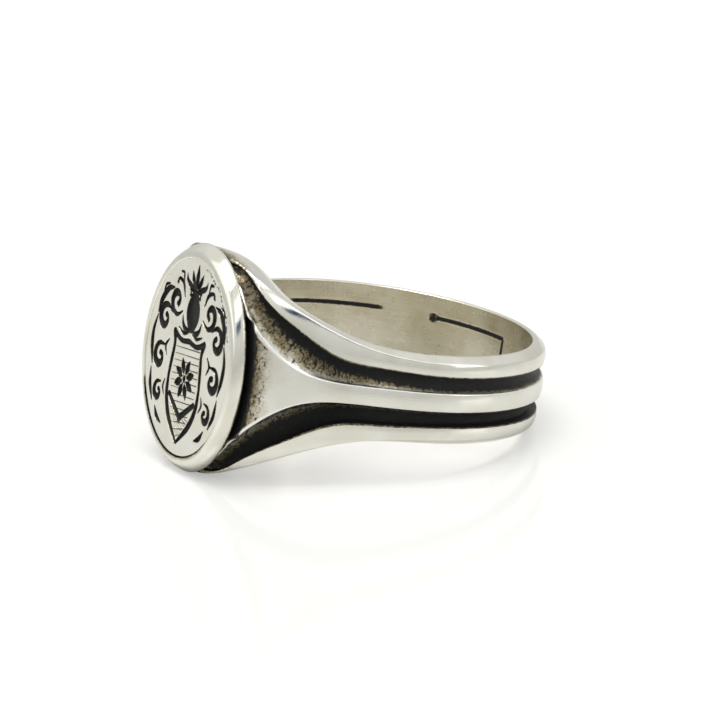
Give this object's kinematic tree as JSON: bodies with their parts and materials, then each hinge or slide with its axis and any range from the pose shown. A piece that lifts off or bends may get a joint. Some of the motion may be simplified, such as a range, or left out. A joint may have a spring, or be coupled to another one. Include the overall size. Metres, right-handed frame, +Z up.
{
  "type": "signet ring",
  "caption": "Oval-headed signet ring with a shank of fluted rails that spread into flared shoulders, and an engraved seal plate set in a rounded collar.",
  "frame": {"origin": "on the finger bore's axis, at the middle of the band's width", "axes": "+Z along the finger bore's axis, the seal faces -Y, +X to the right when looking at the seal with +Z up"},
  "size_m": [0.0212, 0.0243, 0.0142],
  "materials": {
    "polished_silver": "bright polished silver, hand-worn, blackened in the recesses",
    "plain_silver": "unpolished silver inside the head",
    "silver_solder": "tarnished hard solder in the joints"
  },
  "bodies": {
    "root": {"seal_plate": "polished_silver", "bezel_collar": "polished_silver", "bearing_ring": "plain_silver", "head_wall": "plain_silver", "head_back": "plain_silver", "upper_rail": "polished_silver", "lower_rail": "polished_silver", "centre_band_left": "polished_silver", "centre_band_right": "polished_silver", "upper_joint_solder": "silver_solder", "lower_joint_solder": "silver_solder", "back_joint_solder": "silver_solder", "bezel_joint_solder": "silver_solder"}
  },
  "joints": []
}
